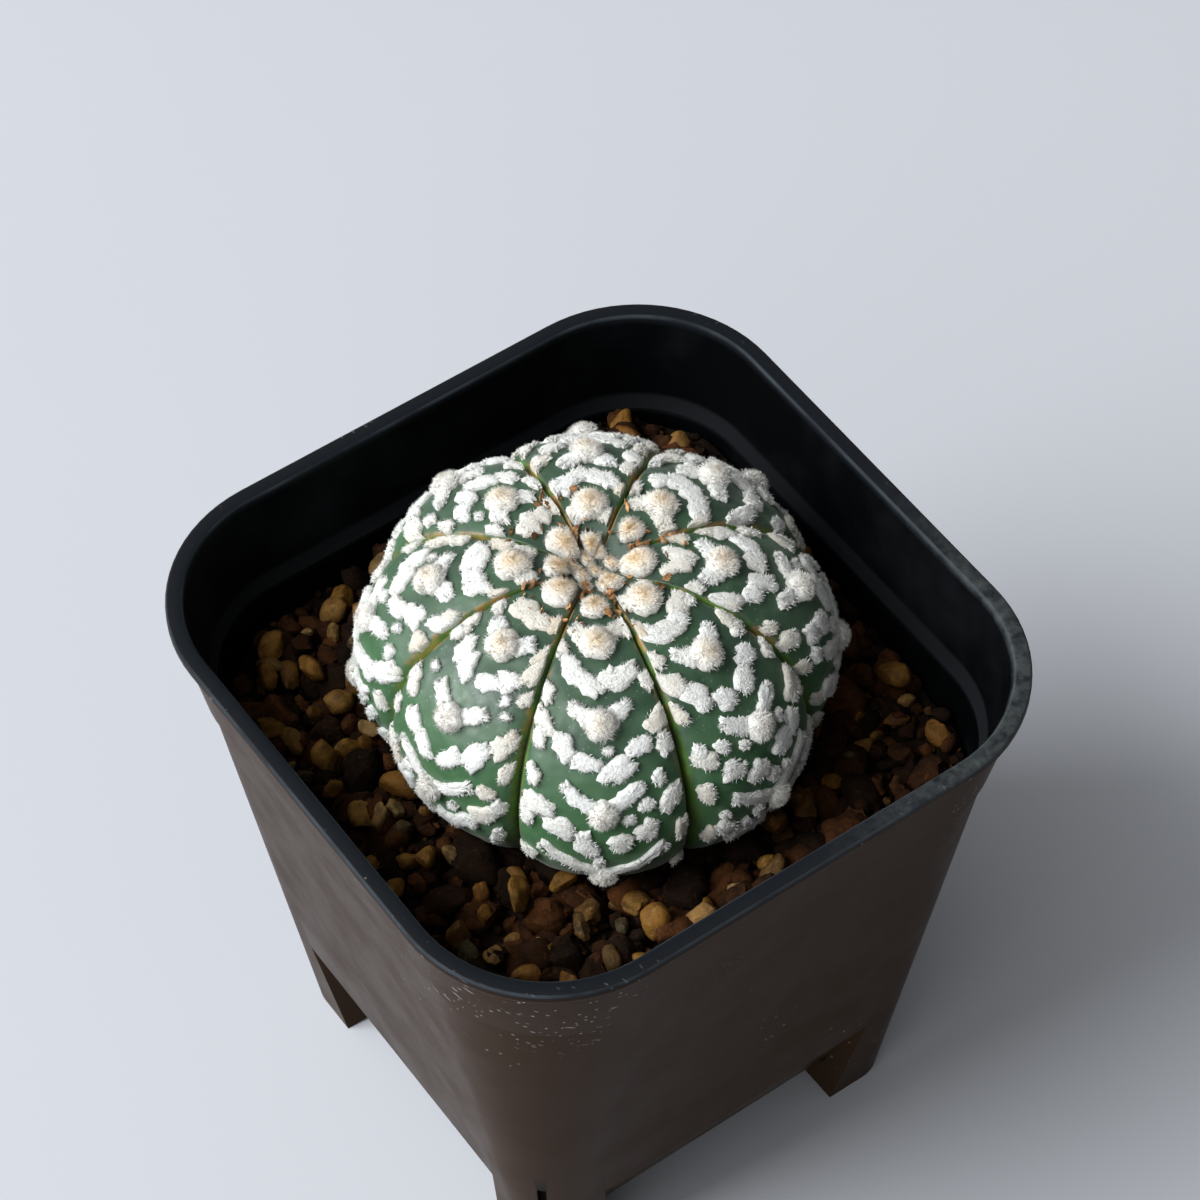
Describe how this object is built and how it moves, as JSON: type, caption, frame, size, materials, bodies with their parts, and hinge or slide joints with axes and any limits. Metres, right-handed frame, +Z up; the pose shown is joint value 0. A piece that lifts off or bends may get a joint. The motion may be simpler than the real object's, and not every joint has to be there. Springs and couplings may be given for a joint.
{
  "type": "potted star cactus",
  "caption": "Squat ribbed star cactus with woolly white flecks, standing in gritty soil in a square tapering nursery pot with corner feet.",
  "frame": {"origin": "middle of the pot's square footprint, at the bottoms of its feet", "axes": "+Z up through the rim and the plant's crown; +X and +Y square to the pot's sides"},
  "size_m": [0.075, 0.075, 0.0864],
  "materials": {
    "pot_plastic": "satin",
    "gritty_soil": "matte",
    "cactus_skin": "satin"
  },
  "bodies": {
    "root": {"pot": "pot_plastic", "soil": "gritty_soil", "cactus": "cactus_skin"}
  },
  "joints": []
}
